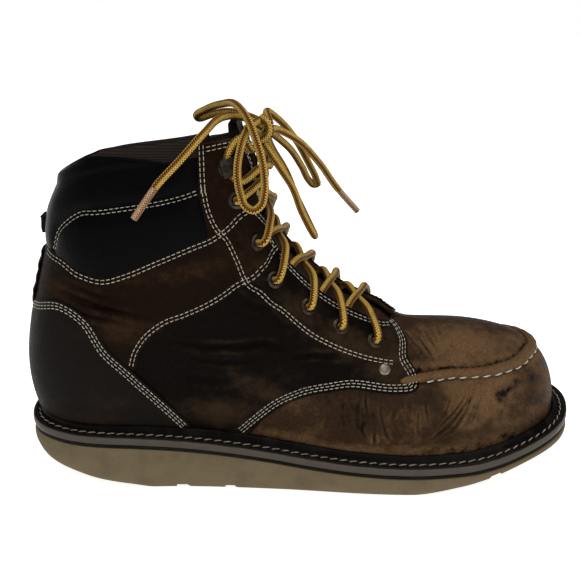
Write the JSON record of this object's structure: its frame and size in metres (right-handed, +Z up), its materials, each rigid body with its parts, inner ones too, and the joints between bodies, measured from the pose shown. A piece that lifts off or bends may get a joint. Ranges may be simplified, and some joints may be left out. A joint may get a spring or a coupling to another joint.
{
  "type": "work boot",
  "caption": "Right-foot lace-up work boot with a moc toe, padded collar, welt and wedge sole, tied in a bow.",
  "frame": {"origin": "on the floor under the middle of the sole's outline", "axes": "+X to the toe, +Y to the medial side, +Z up; the lateral side faces -Y"},
  "size_m": [0.314, 0.1074, 0.213],
  "materials": {
    "antique_metal": "antique, satin",
    "black_leather": "smooth",
    "black_rubber": "matt",
    "dark_leather": "oiled",
    "insole_board": "matt",
    "lace_cord": "woven round cord",
    "lace_tip": "clear film",
    "olive_rubber": "matt, worn",
    "panel_leather": "oiled",
    "tab_cloth": "woven",
    "tongue_leather": "matt",
    "vamp_leather": "oiled, worn",
    "welt_leather": "matt, dusty"
  },
  "bodies": {
    "root": {"ankle_panel": "panel_leather", "back_strap": "dark_leather", "bow_loop_far": "lace_cord", "bow_loop_low": "lace_cord", "bow_loop_near": "lace_cord", "collar": "black_leather", "counter": "dark_leather", "eyelet_lateral_1": "antique_metal", "eyelet_lateral_2": "antique_metal", "eyelet_lateral_3": "antique_metal", "eyelet_lateral_4": "antique_metal", "eyelet_lateral_5": "antique_metal", "eyelet_lateral_6": "antique_metal", "eyelet_medial_1": "antique_metal", "eyelet_medial_2": "antique_metal", "eyelet_medial_3": "antique_metal", "eyelet_medial_4": "antique_metal", "eyelet_medial_5": "antique_metal", "eyelet_medial_6": "antique_metal", "facing_lateral": "panel_leather", "facing_medial": "panel_leather", "hook_lateral": "antique_metal", "hook_medial": "antique_metal", "insole": "insole_board", "lace_crossing_1": "lace_cord", "lace_crossing_2": "lace_cord", "lace_crossing_3": "lace_cord", "lace_crossing_4": "lace_cord", "lace_crossing_5": "lace_cord", "lace_crossing_6": "lace_cord", "lace_end_far": "lace_cord", "lace_end_near": "lace_cord", "lace_knot": "lace_cord", "lace_riser_lateral": "lace_cord", "lace_riser_medial": "lace_cord", "lace_tip_far": "lace_tip", "lace_tip_near": "lace_tip", "midsole": "black_rubber", "outsole": "olive_rubber", "pull_tab": "tab_cloth", "rivet_lateral": "antique_metal", "rivet_medial": "antique_metal", "saddle_lateral": "dark_leather", "saddle_medial": "dark_leather", "tongue": "tongue_leather", "tongue_keeper": "tongue_leather", "upper": "vamp_leather", "welt": "welt_leather"}
  },
  "joints": []
}
